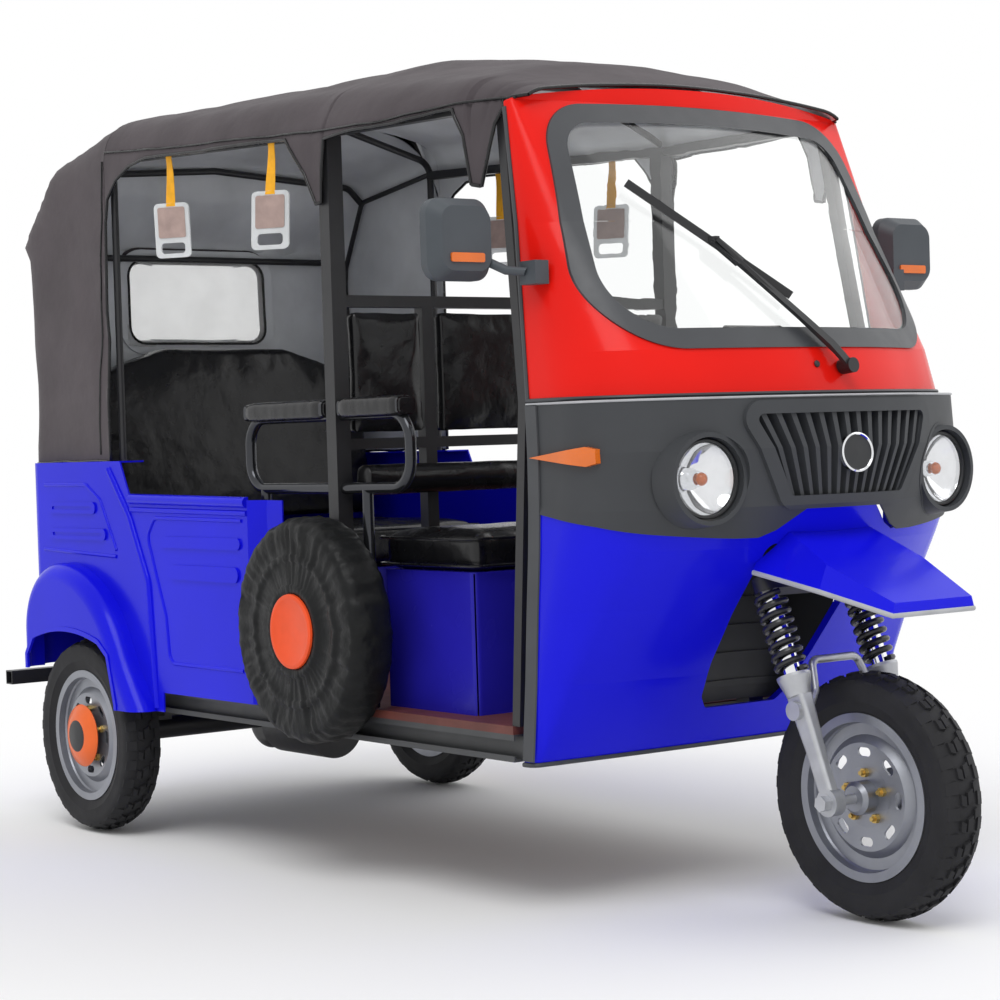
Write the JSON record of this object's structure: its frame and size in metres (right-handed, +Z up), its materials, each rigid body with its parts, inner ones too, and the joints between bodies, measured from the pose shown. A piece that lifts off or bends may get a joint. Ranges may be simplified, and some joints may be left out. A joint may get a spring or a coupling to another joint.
{
  "type": "electric auto rickshaw",
  "caption": "Three-wheeled passenger rickshaw with a moulded cab front, cloth canopy on bows, sheet-steel rear body and a steered, sprung front wheel.",
  "frame": {"origin": "on the ground, under the middle of the whole object's box", "axes": "+X forward, +Y to the vehicle's left, +Z up; the vehicle is mirrored about Y = 0 apart from its spare wheel"},
  "size_m": [2.863, 1.394, 1.8399],
  "materials": {
    "black_steel": "satin",
    "grey_steel": "satin",
    "floor_steel": "matte",
    "blue_paint": "gloss",
    "blue_box": "gloss",
    "blue_moulding": "gloss",
    "red_moulding": "gloss",
    "grey_moulding": "textured",
    "black_moulding": "satin",
    "gasket_rubber": "matte",
    "clear_glass": "gloss",
    "lamp_glass": "gloss",
    "amber_lens": "gloss",
    "red_lens": "gloss",
    "tyre_rubber": "matte",
    "silver_rim": "metallic",
    "cast_alloy": "cast",
    "spring_steel": "gloss",
    "canopy_cloth": "woven",
    "window_film": "soft",
    "black_vinyl": "gloss",
    "black_chrome": "polished",
    "strap_webbing": "woven"
  },
  "bodies": {
    "chassis": {"chassis_frame": "grey_steel", "floor_plate": "floor_steel", "rear_axle": "black_steel", "leaf_springs": "black_steel", "rear_bumper": "black_steel", "front_apron": "blue_moulding", "inner_mudguard": "black_moulding", "front_belt": "grey_moulding", "headlamps": "lamp_glass", "blinkers": "amber_lens", "front_shell": "red_moulding", "windscreen_gasket": "gasket_rubber", "windscreen": "clear_glass", "wiper": "black_moulding", "mirror_right": "grey_moulding", "mirror_left": "grey_moulding", "beak_fender": "blue_moulding", "dashboard": "black_moulding", "cab_frame": "black_steel", "canopy_bows": "black_steel", "canopy": "canopy_cloth", "rear_window": "window_film", "rear_body_right": "blue_paint", "rear_body_left": "blue_paint", "rear_panel": "blue_paint", "tail_lamps": "red_lens", "seat_box": "black_steel", "rear_bench": "black_vinyl", "rear_backrest": "black_vinyl", "battery_box": "blue_box", "driver_cushion": "black_vinyl", "partition_pads": "black_vinyl", "grab_rail_right": "black_chrome", "grab_rail_left": "black_chrome", "spare_wheel": "black_vinyl", "hand_straps": "strap_webbing"},
    "steering": {"fork_legs": "cast_alloy", "fork_springs": "spring_steel", "fork_clamp": "black_steel", "handlebar": "black_moulding"},
    "front_wheel": {"tyre_front": "tyre_rubber", "rim_front": "silver_rim"},
    "rear_wheel_right": {"tyre_rear_right": "tyre_rubber", "rim_rear_right": "silver_rim"},
    "rear_wheel_left": {"tyre_rear_left": "tyre_rubber", "rim_rear_left": "silver_rim"}
  },
  "joints": [
    {"name": "steer", "type": "hinge", "parent": "chassis", "child": "steering", "pos_m": [1.1865, 0, 0.245], "axis": [-0.3665, 0, 0.9304], "range_deg": [-35, 35]},
    {"name": "front_wheel_spin", "type": "hinge", "parent": "steering", "child": "front_wheel", "pos_m": [1.1865, 0, 0.245], "axis": [0, 1, 0], "continuous": true},
    {"name": "rear_right_spin", "type": "hinge", "parent": "chassis", "child": "rear_wheel_right", "pos_m": [-1.0135, -0.53, 0.245], "axis": [0, 1, 0], "continuous": true},
    {"name": "rear_left_spin", "type": "hinge", "parent": "chassis", "child": "rear_wheel_left", "pos_m": [-1.0135, 0.53, 0.245], "axis": [0, 1, 0], "continuous": true}
  ]
}
